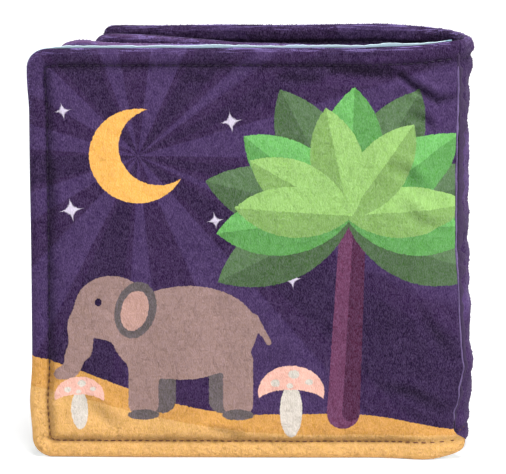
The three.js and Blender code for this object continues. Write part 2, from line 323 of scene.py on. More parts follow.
def fold_valleys(along, up):
    """Depth of the pressed valleys of the front cover, in metres, at places in metres."""
    depth = np.zeros_like(along)
    for line, deep, wide in FRONT_FOLDS:
        line = np.array(line) * MM
        runs = np.diff(line, axis=0)
        lengths = np.linalg.norm(runs, axis=1)
        before = np.concatenate([[0], np.cumsum(lengths)])
        nearest = np.full_like(along, np.inf)
        passed = np.zeros_like(along)
        for start, run, length, past in zip(line, runs, lengths, before):
            share = np.clip(((along - start[0]) * run[0] + (up - start[1]) * run[1]) / length**2, 0, 1)
            gap = np.hypot(along - start[0] - share * run[0], up - start[1] - share * run[1])
            passed = np.where(gap < nearest, (past + share * length) / before[-1], passed)
            nearest = np.minimum(gap, nearest)
        ends = np.sin(np.pi * np.clip(passed, FOLD_FADE, 1 - FOLD_FADE)) ** 0.5
        lip = FOLD_LIP * bell(nearest, 2.3 * wide * MM, 0.9 * wide * MM)
        depth += deep * MM * ends * (bell(nearest, 0, wide * MM) - lip)
    return depth


# How far the crease and the spine's rounded side wander to the right, by height
CREASE_HEIGHTS_MM = (
    8, 12, 16, 18, 21, 24, 28, 32, 36, 39, 44, 52, 60, 69, 77, 85, 107, 123, 139, 145, 163,
)
CREASE_SHIFTS_MM = (
    0.3, 0.2, 0.3, 0.0, 1.3, 2.0, 2.0, 3.0, 3.8, 3.3, 2.8, 2.2, 1.6, 1.2, 0.7, 0.0, -0.3, -0.4, -0.1,
    0.0, -0.3,
)
BOW_HEIGHTS_MM = (
    0, 3, 6, 10, 17, 25, 29, 35, 41, 55, 68, 74, 80, 90, 97, 101, 106, 113, 119, 128, 136, 141, 144,
    149, 154, 157, 160, 165,
)
BOW_SHIFTS_MM = (
    -0.6, 0.4, 0.7, 0.6, 0.9, 1.7, 1.8, 1.0, 0.0, 0.3, -0.2, -1.0, -0.5, -0.2, -0.5, -1.3, -1.5, -0.8,
    -1.6, -1.5, -1.9, -1.2, -0.9, -1.5, -0.8, -0.8, 0.5, -0.4,
)

PAD_RUN = 22 * MM  # a leaf reaches its full thickness this far from its edge
SOFT_GROOVE = 2.6  # width of the soft part of a stitch valley, in widths of its sharp part
SHARP_SHARE, SOFT_SHARE = 0.7, 0.3  # of the valley's depth


def half_profile(inset, size):
    """Half-thickness beyond the rolled rim: the roll, the stitch valley and the padded field."""
    roll, crown = size.rim_roll, size.crown
    field = roll + (crown - roll) * smooth_step(roll, PAD_RUN, inset)
    sharp = bell(inset, size.groove_inset, size.groove_width)
    soft = bell(inset, size.groove_inset, SOFT_GROOVE * size.groove_width)
    return field - size.groove_depth * (SHARP_SHARE * sharp + SOFT_SHARE * soft)


def rounded_corner(corner, near, far, depth_in):
    """The two insets of a place near a corner, slid onto circles round the corner's centre."""
    turned = (far < corner) & (near < corner)
    swing = math.pi / 4 * (corner - far) / np.maximum(corner - near, 1e-9)
    near_out = np.where(turned, corner - (corner - depth_in) * np.cos(swing), depth_in)
    far_out = np.where(turned, corner - (corner - depth_in) * np.sin(swing), far)
    return near_out, far_out


# Unevenness of the cloth in layers of noise: height in mm, size of the lumps in mm, seed
LUMPS = ((0.7, 34, 0), (0.35, 13, 20))
PUCKERS = ((0.55, 5.6, 40), (0.3, 2.8, 50))
WRINKLES = ((0.2, 3.2, 60),)
RIPPLE = 1.2 * MM  # height of the folds that run round the bowed spine
RIPPLE_SIZE = 7 * MM
LOOP_MIDDLE = 12 * MM  # along the bowed spine, from its root


def cloth_relief(sheet, side, distance, up, reach, near):
    """Swellings, puckers beside the stitches and pressed folds, in metres."""
    flat = np.column_stack([distance, np.zeros_like(distance), up])
    seed = sheet.seed * 2 + (side > 0)
    field = smooth_step(6 * MM, 16 * MM, near)
    rim = bell(near, 7 * MM, 4.5 * MM) * (near > 1.5 * MM)
    inside = np.clip(near / (3 * MM), 0, 1)
    layers = ((LUMPS, field), (PUCKERS, rim), (WRINKLES, inside))
    relief = sum(layered_noise(flat, layer, seed) * share for layer, share in layers) * MM
    if sheet.name == "front_cover" and side > 0:
        relief -= fold_valleys(sheet.length - reach, up) * np.clip(near / (5 * MM), 0, 1)
    if sheet.name == "back_cover":
        relief += RIPPLE * loop_ripple(distance, up) * bell(distance, LOOP_MIDDLE, 16 * MM)
    return relief * np.clip(distance / (5 * MM), 0, 1)


def loop_ripple(distance, up):
    """Soft folds that run round the bowed spine, from -1 to 1."""
    return noise_at(
        np.column_stack([distance * 0.5, distance * 0, up + 0.5 * distance]), RIPPLE_SIZE, 78
    )


SEAM_PRESS = 0.22  # share of its thickness that a leaf keeps at its root
RIM_PRESS = 0.72  # and across the rolled rim at the top of a cover


def root_press(sheet, side, distance, high_inset):
    """How far the stitches of the seam squeeze a leaf together: less across the rolled rim at the top."""
    run = sheet.root_run[0 if side > 0 else 1] * MM
    pressing_and_crease_shade = SEAM_PRESS + (1 - SEAM_PRESS) * (1 - np.exp(-np.maximum(distance, 0) / run))
    if sheet.name in ("front_cover", "back_cover"):
        band = 1 - smooth_step(4.5 * MM, 7 * MM, high_inset)
        pressing_and_crease_shade = np.maximum(pressing_and_crease_shade, RIM_PRESS * band)
    return pressing_and_crease_shade


INNER_HALF = 0.15 * MM  # half the room between the two panels of a leaf, where the film lies
SWAY = 0.8 * MM  # how far a leaf sways to each side


def cloth_points(sheet, side, end_inset, low_inset, high_inset, inner=False):
    """Places of the cloth in metres, its printed places, its painted crease shade and how near the rim it
    is.

    The insets are measured along the cloth from the free end, the bottom and the top, and
    side is 1 on the left of the sheet's line as it leaves its root, and -1 on the right."""
    size = sizes()
    turn_in = side * size.seam_turn
    distance = sheet.length - end_inset
    level = np.minimum(low_inset, high_inset)
    near = np.minimum(end_inset, level)
    roll = size.rim_roll
    turn = turn_in + (math.pi / 2 - turn_in) * np.clip(near / roll, 0, 1)
    on_roll = near < roll
    depth_in = np.where(on_roll, roll * (1 - np.cos(turn)), near)
    half = np.where(on_roll, roll * np.sin(turn), half_profile(near, size))

    near_out, far_out = rounded_corner(sheet.corner, near, np.maximum(end_inset, level), depth_in)
    end_first = end_inset <= level
    end_out = np.where(end_first, near_out, far_out)
    level_out = np.where(end_first, far_out, near_out)
    reach = sheet.length - end_out
    up = np.where(low_inset <= high_inset, level_out, HEIGHT - level_out)

    half = half * np.where(half > 0, root_press(sheet, side, distance, high_inset), 1)
    half = half + cloth_relief(sheet, side, distance, up, reach, near)
    if inner:
        half = roll * math.sin(turn_in) * bell(near, 0, 2.2 * MM)
        half = half + INNER_HALF * np.clip(near / (1.5 * MM), 0.2, 1)

    # The whole leaf sways a little, with both its panels
    flat = np.column_stack([distance, np.zeros_like(distance), up])
    sway = SWAY * noise_at(flat, 60 * MM, sheet.seed + 90) * np.clip(distance / (40 * MM), 0, 1)
    spots, normals = sheet.place(reach)
    x, y = (spots + normals * (side * half + sway)[:, None]).T

    # Its rims rise and sink
    share = np.clip(up / HEIGHT, 0, 1)
    wave = 0.3 * MM * noise_at(flat * (1, 1, 0), 20 * MM, sheet.seed + 5)
    from_end = sheet.length - distance
    up = up + (table(from_end, *sheet.rise) + wave) * share**3
    up = up + table(from_end, *sheet.sink) * (1 - share) ** 6
    if sheet.name == "front_cover":
        x, y, up = front_set(side, x, y, up, distance, from_end, share)
    if sheet.name == "back_cover":
        x, y = loop_set(side, x, y, up, distance)

    # Painted shade: the colour is made darker along the stitch groove and in the folds
    press = 0.75 * bell(near, size.groove_inset + 0.8 * MM, 1.9 * MM)
    press = press + fold_shade(sheet, side, reach, up)
    # Near the rim: plush gets its painted mauve highlight and the pale backing's streaks there, and the
    # lining its pale unprinted rim
    edge = bell(near, 0, 1.5 * MM) * (end_inset < sheet.length - 3 * MM)
    printed = np.column_stack([from_end, up]) / PRINT_UNIT
    return np.column_stack([x, y, np.maximum(up, 0)]), printed, np.column_stack([press, edge])


def fold_shade(sheet, side, reach, up):
    """Painted shade of the folds: the pile's colour made darker in their valleys and lighter on their
    lips.
    """
    if sheet.name == "back_cover" and side < 0:
        ripple = np.clip(-0.9 * loop_ripple(reach, up), -0.3, 0.6)
        return ripple * bell(reach, LOOP_MIDDLE, 14 * MM)
    if sheet.name != "front_cover" or side < 0:
        return 0
    return np.clip(fold_valleys(sheet.length - reach, up) / (1.3 * MM), -0.25, 1)


# The upper seam of the front cover's lining: heights in mm of its mean, of its uneven line in layers of
# noise and of two places where it rises, given by their distance from the free end and width
LINING_RAISE = 0.72
LINING_LINE = ((0.3, 9, 3), (0.35, 1.6, 4))
LINING_HUMPS = ((0.35, 70, 9), (0.35, 138, 8))


def front_set(side, x, y, up, distance, from_end, share):
    """The front cover's wandering edge at the crease, its flared bottom corner and its upper seam."""
    if side > 0:
        over_seam = 1 - smooth_step(0, 6 * MM, distance)
        x = x + 2.3 * MM * over_seam
        y = y - 0.5 * MM * over_seam
    else:
        line = np.column_stack([distance, distance * 0, distance * 0])
        raised = LINING_RAISE + layered_noise(line, LINING_LINE, 0)
        for height, middle, width in LINING_HUMPS:
            raised = raised + height * bell(from_end, middle * MM, width * MM)
        ends = smooth_step(6 * MM, 16 * MM, from_end) * (1 - smooth_step(146 * MM, 165 * MM, from_end))
        up = up + raised * ends * MM * share**8

    x = x + table(up, CREASE_HEIGHTS_MM, CREASE_SHIFTS_MM) * bell(np.maximum(distance, 0), 0, 14 * MM)
    flare = smooth_step(11 * MM, 5.5 * MM, up)
    x = x + 4.4 * MM * flare * bell(distance, 0, 9 * MM)
    y = y - 4.5 * MM * flare * bell(distance, 0, 16 * MM)
    corner = 1 - np.sqrt(1 - np.clip(1 - distance / (12 * MM), 0, 1) ** 2)
    lift = 7 * MM * corner * np.clip(1 - up / (9 * MM), 0, 1)

    # The free edge bulges outward at three heights
    outward = 0.3 * smooth_step(80 * MM, 125 * MM, up) + 0.8 * smooth_step(140 * MM, 156 * MM, up)
    outward = outward + bell(up, 23 * MM, 10 * MM)
    x = x - outward * MM * bell(from_end, 0, 20 * MM)
    return x, y, up + lift


def loop_set(side, x, y, up, distance):
    """The spine's plush drawn to the front of the seam, and the bows of its rounded side."""
    bow = table(up, BOW_HEIGHTS_MM, BOW_SHIFTS_MM) - 0.45 * MM
    x = x + bow * bell(distance, 13 * MM, 10 * MM)
    x = x + table(up, CREASE_HEIGHTS_MM, CREASE_SHIFTS_MM) * bell(distance, 0, 8 * MM)
    if side < 0:
        x = x + 0.9 * MM * bell(distance, 2.6 * MM, 2.3 * MM)
        x = x - 1.6 * MM * (1 - smooth_step(0, 7 * MM, distance))
        y = y - 3.2 * MM * (1 - smooth_step(0, 12 * MM, distance))
    return x, y


# Mesh of the panels

LAYERS = ("printed", "marks")  # what each vertex keeps beside its place
ROLL_STOPS = 7  # mesh lines over the rolled rim
RIM_STEP = 0.6 * MM  # between mesh lines from there to the stitches
RIM_BAND = 9.5 * MM  # inside it the steps grow
STEP_GROWTH = 1.12
KEPT_BAND = 12 * MM  # mesh lines nearer the edge keep their place, and the others are fitted


def inset_stops(length, cell, roll):
    """Insets from one edge to the middle of a length: close together on the rim, wider inside it."""
    stops = list(np.linspace(0, roll, ROLL_STOPS))
    step = min(cell, RIM_STEP)
    while stops[-1] < length / 2:
        stops.append(stops[-1] + step)
        step = min(step * (1.0 if stops[-1] < RIM_BAND else STEP_GROWTH), cell)
    stops = np.array(stops)
    stretch = (length / 2 - KEPT_BAND) / (stops[-1] - KEPT_BAND)
    return np.where(stops < KEPT_BAND, stops, KEPT_BAND + (stops - KEPT_BAND) * stretch)


def panel_lines(sheet, cell):
    """Insets from the free end and heights at which a panel has mesh lines."""
    roll = sizes().rim_roll
    free = inset_stops(sheet.length, cell[0], roll)
    root = sheet.length - inset_stops(sheet.length, cell[0], roll)[::-1]
    ends = np.concatenate([free, root[1:]])
    low = inset_stops(HEIGHT, cell[1], roll)
    levels = np.concatenate([low, HEIGHT - low[::-1][1:]])
    return ends, levels


def set_grid(mesh, ends, levels, sheet, side, inner):
    """A grid of cloth between the given lines, as a list of its new vertices."""
    made = bmesh.ops.create_grid(
        mesh, x_segments=len(ends) - 1, y_segments=len(levels) - 1, size=0.5, calc_uvs=False
    )["verts"]
    column = np.array([round((v.co.x + 0.5) * (len(ends) - 1)) for v in made])
    row = np.array([round((v.co.y + 0.5) * (len(levels) - 1)) for v in made])
    values = cloth_points(sheet, side, ends[column], levels[row], HEIGHT - levels[row], inner)
    layers = [mesh.verts.layers.float_vector[name] for name in LAYERS]
    for vertex, place, spot, marks in zip(made, *values):
        vertex.co = place
        vertex[layers[0]] = (*spot, 0)
        vertex[layers[1]] = (*marks, 0)
    return made


PILE_LEAN, PILE_FALL = 0.22, 0.12  # how far a tuft leans and hangs, in pile lengths
PILE_SKEW = 1.5  # above 1 most tufts are short


def raise_pile(mesh, faces, seed):
    """Each cell of the outer face comes to a point, as tufts of short pile do."""
    random = np.random.default_rng(seed)
    layers = [mesh.verts.layers.float_vector[name] for name in LAYERS]
    tips = bmesh.ops.poke(mesh, faces=faces)["verts"]
    pile = sizes().pile
    lengths = random.random(len(tips))
    leans = random.normal(0, PILE_LEAN, (2, len(tips)))
    for tip, length, lean_x, lean_z in zip(tips, lengths, *leans):
        around = [edge.other_vert(tip) for edge in tip.link_edges]
        for layer in layers:
            tip[layer] = sum((vertex[layer] for vertex in around), Vector()) / len(around)
        tip.co += tip.normal * pile * length**PILE_SKEW + Vector((lean_x, 0, lean_z - PILE_FALL)) * pile
        tip.co.z = max(tip.co.z, 0)


def new_object(name, mesh, cloth):
    data = bpy.data.meshes.new(name)
    mesh.to_mesh(data)
    mesh.free()
    made = bpy.data.objects.new(name, data)
    bpy.context.scene.collection.objects.link(made)
    data.materials.append(cloth)
    data.polygons.foreach_set("use_smooth", [True] * len(data.polygons))
    return made


def cloth_panel(name, sheet, side, cloth, cell, pile):
    """One closed panel of a leaf: its outer face, the inner face beside the film and the edge between."""
    mesh = bmesh.new()
    for layer in LAYERS:
        mesh.verts.layers.float_vector.new(layer)
    ends, levels = panel_lines(sheet, cell)
    set_grid(mesh, ends, levels, sheet, side, False)
    outer_edges = [e for e in mesh.edges if e.is_boundary]
    outer_faces = list(mesh.faces)
    set_grid(mesh, ends, levels, sheet, side, True)
    known = {*outer_edges, *outer_faces}
    inner_edges = [e for e in mesh.edges if e.is_boundary and e not in known]
    bmesh.ops.reverse_faces(mesh, faces=[f for f in mesh.faces if f not in known])
    bmesh.ops.bridge_loops(mesh, edges=outer_edges + inner_edges)
    bmesh.ops.recalc_face_normals(mesh, faces=mesh.faces)
    if pile:
        mesh.normal_update()
        raise_pile(mesh, outer_faces, sheet.seed * 2 + side)
    made = new_object(name, mesh, cloth)
    make_uv(made)
    return made


def make_uv(made):
    """The printed place of each corner, kept as a UV map."""
    data = made.data
    spots = np.zeros(len(data.vertices) * 3, np.float32)
    data.attributes["printed"].data.foreach_get("vector", spots)
    spots = spots.reshape(-1, 3)[:, :2]
    corners = np.zeros(len(data.loops), np.int32)
    data.loops.foreach_get("vertex_index", corners)
    layer = data.uv_layers.new(name="print")
    layer.data.foreach_set("uv", spots[corners].astype(np.float32).ravel())
    data.attributes.remove(data.attributes["printed"])


# Stitches

SPINDLE_TURN = Matrix.Rotation(math.pi / 2, 4, "Y")  # the sphere's poles point along the stitch
FIRST_STITCH = 1.5 * MM  # from the root
STITCH_LIFT = 1.2  # thread radii over the cloth
STITCH_HALF, STITCH_SPREAD = 0.36, 0.03  # half a stitch's length and its spread, in pitches
STITCH_TILT = 0.05  # spread of a stitch's tilt, in radians
GOOD_GAPS = (0.3, 2.2)  # between which two places still make a stitch, in pitches


def seam_route(sheet):
    """Insets (end, low, high) along the stitch line, from the root round the free edge and back."""
    size = sizes()
    inset = size.groove_inset
    along = np.arange(FIRST_STITCH, sheet.length - inset, size.stitch_pitch)
    bottom = [(sheet.length - s, inset, HEIGHT - inset) for s in along]
    up = np.arange(inset + size.stitch_pitch / 2, HEIGHT - inset, size.stitch_pitch)
    edge = [(inset, z, HEIGHT - z) for z in up]
    top = [(sheet.length - s, HEIGHT - inset, inset) for s in along[::-1]]
    return np.array(bottom + edge + top)


def stitch_row(name, sheet, side, thread):
    """A row of single stitches in the groove, each a small spindle pulled down at both ends."""
    pitch, radius = sizes().stitch_pitch, sizes().stitch_radius
    route = seam_route(sheet)
    spots = cloth_points(sheet, side, *route.T)[0]
    _, normals = sheet.place(np.clip(sheet.length - route[:, 0], 0, sheet.length))
    lifted = spots + np.column_stack([normals * side, np.zeros(len(normals))]) * radius * STITCH_LIFT
    random = np.random.default_rng(sheet.seed * 2 + side)
    mesh = bmesh.new()
    for start, end, uneven in zip(lifted, lifted[1:], random.normal(0, 1, (len(lifted), 2))):
        start, end = Vector(start), Vector(end)
        way = end - start
        if not GOOD_GAPS[0] < way.length / pitch < GOOD_GAPS[1]:
            continue
        tilt = Matrix.Rotation(STITCH_TILT * uneven[0], 4, "Y")
        turn = way.to_track_quat("X", "Z").to_matrix().to_4x4() @ tilt
        half_long = pitch * (STITCH_HALF + STITCH_SPREAD * uneven[1])
        place = Matrix.Translation((start + end) / 2) @ turn
        place = place @ Matrix.Diagonal((half_long, radius, radius, 1)) @ SPINDLE_TURN
        bmesh.ops.create_uvsphere(mesh, u_segments=6, v_segments=5, radius=1, matrix=place)
    return new_object(name, mesh, thread)


# Printed pictures

FRAY = (0.006, 0.009, 0)  # how far the pile moves the picture's outlines
FRAY_GRAIN = 0.0011  # size of that noise in metres
PRINT_BLUR, STAR_BLUR = 0.0022, 0.004  # width of an outline's soft edge


class Nodes:
    """Adds nodes to a tree and joins them."""

    def __init__(self, tree):
        self.tree = tree

    def add(self, kind, **settings):
        made = self.tree.nodes.new(kind)
        for name, value in settings.items():
            setattr(made, name, value)
        return made

    def join(self, value, socket):
        if isinstance(value, bpy.types.NodeSocket):
            self.tree.links.new(value, socket)
        else:
            socket.default_value = value

    def fill(self, node, *values):
        """Gives a node's inputs these values in their order."""
        for value, socket in zip(values, node.inputs):
            self.join(value, socket)
        return node

    def settle(self, node, values):
        """Gives a node's inputs these values by their names."""
        for name, value in values.items():
            self.join(value, node.inputs[name])
        return node

    def math(self, operation, *values, clamp=False):
        node = self.add("ShaderNodeMath", operation=operation, use_clamp=clamp)
        return self.fill(node, *values).outputs[0]


class Paint(Nodes):
    """A picture drawn by nodes: shapes are distances to an outline, and colours lie over each other."""

    def __init__(self, tree):
        super().__init__(tree)
        self.place = self.frayed(self.add("ShaderNodeUVMap", uv_map="print").outputs[0])
        self.x, self.y, _ = self.parts(self.place)

    def frayed(self, place):
        """The place moved a little to and fro, as printed pile moves its picture's outlines."""
        back = tuple(-part / 2 for part in FRAY)
        shift = self.vector("MULTIPLY_ADD", self.noise(FRAY_GRAIN, output="Color"), FRAY, back)
        return self.vector("ADD", place, shift)

    def vector(self, operation, *values):
        return self.fill(self.add("ShaderNodeVectorMath", operation=operation), *values).outputs[0]

    def parts(self, place):
        return self.fill(self.add("ShaderNodeSeparateXYZ"), place).outputs

    def length(self, place):
        node = self.add("ShaderNodeVectorMath", operation="LENGTH")
        return self.fill(node, place).outputs["Value"]

    def span(self, along, across):
        """Length of the line with these two parts."""
        return self.length(self.fill(self.add("ShaderNodeCombineXYZ"), along, across).outputs[0])

    def object_place(self, scale, stretch=(1, 1, 1)):
        place = self.add("ShaderNodeTexCoord").outputs["Object"]
        sized = {"Vector": place, "Scale": tuple(s / scale for s in stretch)}
        return self.settle(self.add("ShaderNodeMapping"), sized).outputs[0]

    def noise(self, scale, detail=2.0, stretch=(1, 1, 1), output="Fac"):
        values = {"Vector": self.object_place(scale, stretch), "Scale": 1.0, "Detail": detail}
        return self.settle(self.add("ShaderNodeTexNoise"), values).outputs[output]

    def swing(self, noise_value, amount):
        """A factor round 1 that follows a noise, over a range of the given size."""
        return self.math("MULTIPLY_ADD", noise_value, amount, 1 - amount / 2)

    def bump(self, height, strength, distance):
        values = {"Strength": strength, "Distance": distance, "Height": height}
        return self.settle(self.add("ShaderNodeBump"), values).outputs[0]

    def local(self, x, y, wide=1.0, tall=1.0, turn=0.0):
        """The place as seen from a spot of the picture, turned and scaled to it."""
        values = {
            "Vector": self.place, "Location": (x, y, 0), "Rotation": (0, 0, math.radians(turn)),
            "Scale": (wide, tall, 1),
        }
        return self.settle(self.add("ShaderNodeMapping", vector_type="TEXTURE"), values).outputs[0]

    def oval(self, x, y, wide, tall, turn=0.0):
        """Distance to an oval with these half widths."""
        reach = self.length(self.local(x, y, wide, tall, turn))
        return self.math("MULTIPLY", self.math("SUBTRACT", reach, 1.0), min(wide, tall))

    def leaf(self, x, y, wide, tall, turn):
        """Distance to a pointed leaf, the part that two wide circles share, and to its rib."""
        along, across, _ = self.parts(self.local(x, y, turn=turn))
        radius = (wide * wide + tall * tall) / (2 * tall)
        lifted = self.math("ADD", self.math("ABSOLUTE", across), radius - tall)
        return self.math("SUBTRACT", self.span(along, lifted), radius), across

    def bar(self, x, y, half_long, radius, turn=0.0, thin=1.0):
        """Distance to a round-ended bar, whose far end may be thinner."""
        along, across, _ = self.parts(self.local(x, y, turn=turn))
        over = self.math("SUBTRACT", self.math("ABSOLUTE", along), half_long)
        slope, middle = radius * (thin - 1) / (2 * half_long), radius * (thin + 1) / 2
        slim = self.math("MULTIPLY_ADD", along, slope, middle)
        return self.math("SUBTRACT", self.span(self.math("MAXIMUM", over, 0.0), across), slim)

    def joined(self, *shapes, soft=0.0):
        result = shapes[0]
        for shape in shapes[1:]:
            if soft:
                result = self.math("SMOOTH_MIN", result, shape, soft)
            else:
                result = self.math("MINIMUM", result, shape)
        return result

    def cut(self, shape, hole):
        return self.math("MAXIMUM", shape, self.math("MULTIPLY", hole, -1.0))

    def hill(self, height, swell, waves, shift, lean=0.0):
        """Distance below a rolling hill's edge, negative inside the hill."""
        wave = self.math("SINE", self.math("MULTIPLY_ADD", self.x, waves, shift))
        edge = self.math("MULTIPLY_ADD", wave, swell, height)
        edge = self.math("ADD", edge, self.math("MULTIPLY", self.x, lean))
        return self.math("SUBTRACT", self.y, edge)

    def spark(self, x, y, size):
        """A small star with four long points."""
        along, across, _ = self.parts(self.local(x, y, size, size, 9.0))
        roots = [self.math("SQRT", self.math("ABSOLUTE", part)) for part in (along, across)]
        reach = self.math("SUBTRACT", self.math("ADD", *roots), 1.0)
        return self.math("MULTIPLY", reach, size * 0.5)

    def mask(self, shape, blur=PRINT_BLUR):
        """1 inside a shape and 0 outside, with an edge as soft as print on pile."""
        return self.math("MULTIPLY_ADD", shape, -1 / blur, 0.5, clamp=True)

    def over(self, base, colour, mask):
        values = {"Factor": mask, "A": opaque(base), "B": opaque(colour)}
        return self.settle(self.add("ShaderNodeMix", data_type="RGBA"), values).outputs["Result"]

    def lay(self, base, colour, shape, blur=PRINT_BLUR):
        """A colour over the base inside a shape."""
        return self.over(base, colour, self.mask(shape, blur))


def opaque(colour):
    return colour if isinstance(colour, bpy.types.NodeSocket) else (*tuple(colour)[:3], 1)


def scaled(draw, x, y, size):
    """Draws round a spot, with the place and the two lengths as shares of a size."""
    return lambda dx, dy, a, b, *rest: draw(x + dx * size, y + dy * size, a * size, b * size, *rest)


def night_sky(paint, centre, rays):
    """A night sky with broad lighter and darker wedges spreading from a point."""
    tint = colours()
    along, across, _ = paint.parts(paint.local(*centre))
    turn = paint.math("ARCTAN2", across, along)
    broad = paint.math("SINE", paint.math("MULTIPLY", turn, float(rays)))
    uneven = paint.math("SINE", paint.math("MULTIPLY_ADD", turn, 5.0, 0.8))
    mixed = paint.math("MULTIPLY_ADD", uneven, 0.6, broad)
    light = paint.math("MULTIPLY_ADD", mixed, 5.0, -1.0, clamp=True)
    dark = paint.math("MULTIPLY_ADD", paint.math("ADD", broad, uneven), -5.0, -3.0, clamp=True)
    far = paint.length(paint.local(*centre))
    fade = paint.math("MULTIPLY_ADD", far, -0.2, 0.85, clamp=True)
    sky = paint.over(tint.night, tint.ray, paint.math("MULTIPLY", light, fade))
    return paint.over(sky, tint.night_dark, paint.math("MULTIPLY", dark, 0.7))


# Fans of a tree's leaves: colour, reach and half width as shares of the tree, and the leaves' turns
FANS = (
    ("leaf_dark", 0.62, 0.15, (-28, 14, 62, 118, 166, 208)),
    ("leaf_mid", 0.56, 0.145, (-8, 38, 88, 142, 188)),
    ("leaf_light", 0.48, 0.12, (4, 56, 102, 150, 176)),
)
SHADED_LEAF = 0.72  # how light the shaded half of a leaf is


def leafy_tree(paint, base, x, y, size):
    """A leafy tree: a plum trunk and a fan of pointed leaves in three greens."""
    tint = colours()
    bar = scaled(paint.bar, x, y, size)
    base = paint.lay(base, tint.trunk, bar(0, -0.47, 0.47, 0.075, 88, 0.72))
    base = paint.lay(base, tint.trunk_dark, bar(0.035, -0.47, 0.47, 0.04, 88, 0.7))
    for name, reach, wide, turns in FANS:
        colour = getattr(tint, name)
        shaded = tuple(part * SHADED_LEAF for part in colour)
        for turn in turns:
            middle = np.array((x, y)) + reach * size * 0.52 * way_to(math.radians(turn))
            shape, across = paint.leaf(*middle, reach * size * 0.56, wide * size, turn)
            half = paint.math("MULTIPLY", across, 1.0 if turn > 90 else -1.0)
            base = paint.lay(base, shaded, shape)
            base = paint.lay(base, colour, paint.math("MAXIMUM", shape, half))
    return base


def elephant(paint, base, x, y, size):
    """A plain standing elephant seen from the side, its trunk curled down."""
    tint = colours()
    oval, bar = (scaled(draw, x, y, size) for draw in (paint.oval, paint.bar))
    far_legs = [bar(dx, -0.32, 0.13, 0.085, 90) for dx in (-0.14, 0.24)]
    base = paint.lay(base, tint.stone_dark, paint.joined(*far_legs))
    body_and_head = [oval(0, 0, 0.46, 0.31, 4), oval(-0.46, 0.16, 0.235, 0.215)]
    nose = [
        oval(-0.66, -0.02, 0.075, 0.16, 12),
        oval(-0.70, -0.17, 0.06, 0.12, -8),
        oval(-0.755, -0.265, 0.075, 0.045, 18),
    ]
    legs = [bar(dx, -0.33, 0.14, 0.095, 90) for dx in (-0.26, 0.34)]
    tail = bar(0.49, 0.02, 0.09, 0.018, -62)
    shape = paint.joined(*body_and_head, *nose, *legs, tail, soft=0.05 * size)
    base = paint.lay(base, tint.stone, shape)
    base = paint.lay(base, tint.stone_dark, oval(-0.31, 0.15, 0.13, 0.19, -14))
    inner_ear = paint.mask(oval(-0.315, 0.145, 0.085, 0.135, -14))
    base = paint.over(base, tint.pink, paint.math("MULTIPLY", inner_ear, 0.55))
    base = paint.lay(base, tint.thread, oval(-0.545, 0.2, 0.022, 0.026))
    toes = [oval(dx, -0.545, 0.1, 0.035) for dx in (-0.26, 0.34)]
    return paint.lay(base, tint.stone_dark, paint.joined(*toes))


def mushroom(paint, base, x, y, size):
    """A cream mushroom with a pink cap and cream dots."""
    tint = colours()
    oval = scaled(paint.oval, x, y, size)
    base = paint.lay(base, tint.cream, oval(0, 0, 0.17, 0.42))
    base = paint.lay(base, tint.pink, paint.cut(oval(0, 0.3, 0.5, 0.42), oval(0, -0.02, 0.62, 0.36)))
    places = ((-0.24, 0.44, 0.07), (0.04, 0.58, 0.085), (0.27, 0.46, 0.06), (-0.02, 0.4, 0.05))
    dots = [oval(dx, dy, radius, radius * 0.85) for dx, dy, radius in places]
    return paint.lay(base, tint.cream, paint.joined(*dots))


def crescent(paint, base, x, y, size):
    oval = scaled(paint.oval, x, y, size)
    return paint.lay(base, colours().moon, paint.cut(oval(0, 0, 1, 1), oval(0.42, 0.2, 0.82, 0.82)))


def landscape(paint, ground, stars, hills, things):
    """Stars (x, y, size) over a sky, hills one before the other, and things (maker, x, y, size)."""
    tint = colours()
    if stars:
        shape = paint.joined(*[paint.spark(*place) for place in stars])
        ground = paint.lay(ground, tint.star, shape, STAR_BLUR)
    for colour, *shape in hills:
        ground = paint.lay(ground, getattr(tint, colour), paint.hill(*shape))
    for draw, *place in things:
        ground = draw(paint, ground, *place)
    return ground


def cover_picture(paint):
    """The outer print of the front cover."""
    moon = (0.42, 1.24)
    stars = (
        (0.16, 1.02, 0.05), (0.78, 1.38, 0.045), (1.02, 0.74, 0.04), (0.24, 0.66, 0.035),
        (0.72, 0.98, 0.035), (0.13, 1.42, 0.035), (0.9, 1.12, 0.03),
    )
    hills = (("sand_dark", 0.375, 0.05, 4.2, 1.9, -0.181), ("sand", 0.27, 0.045, 3.1, 2.4, -0.135))
    things = (
        (crescent, *moon, 0.19), (leafy_tree, 1.24, 1.0, 0.86), (elephant, 0.6, 0.52, 0.62),
        (mushroom, 1.02, 0.2, 0.26), (mushroom, 0.19, 0.2, 0.19),
    )
    return landscape(paint, night_sky(paint, moon, 11), stars, hills, things)


def back_picture(paint):
    """The outer print of the loop and the back cover."""
    stars = (
        (0.3, 1.3, 0.045), (0.62, 1.42, 0.035), (1.12, 1.36, 0.045), (0.86, 1.0, 0.035),
        (0.4, 0.86, 0.04), (1.2, 0.8, 0.035), (1.5, 1.2, 0.03),
    )
    hills = (("sand_dark", 0.3, 0.05, 3.6, 1.4, -0.3), ("sand", 0.24, 0.05, 2.6, 0.2, -0.26))
    things = ((leafy_tree, 0.42, 0.66, 0.5),)
    return landscape(paint, night_sky(paint, (0.9, 1.05), 9), stars, hills, things)


def day_picture(paint):
    """A meadow under a pale blue sky."""
    tint = colours()
    clouds = (
        (0.4, 1.28, 0.2, 0.075), (0.5, 1.33, 0.12, 0.08),
        (1.1, 1.1, 0.17, 0.06), (1.02, 1.14, 0.1, 0.06),
    )
    sky = paint.lay(tint.day, tint.cream, paint.joined(*[paint.oval(*cloud) for cloud in clouds]))
    hills = (("leaf_mid", 0.48, 0.08, 3.4, 0.4), ("grass", 0.34, 0.06, 2.8, 2.2))
    return landscape(paint, sky, (), hills, ((leafy_tree, 0.95, 0.82, 0.5),))


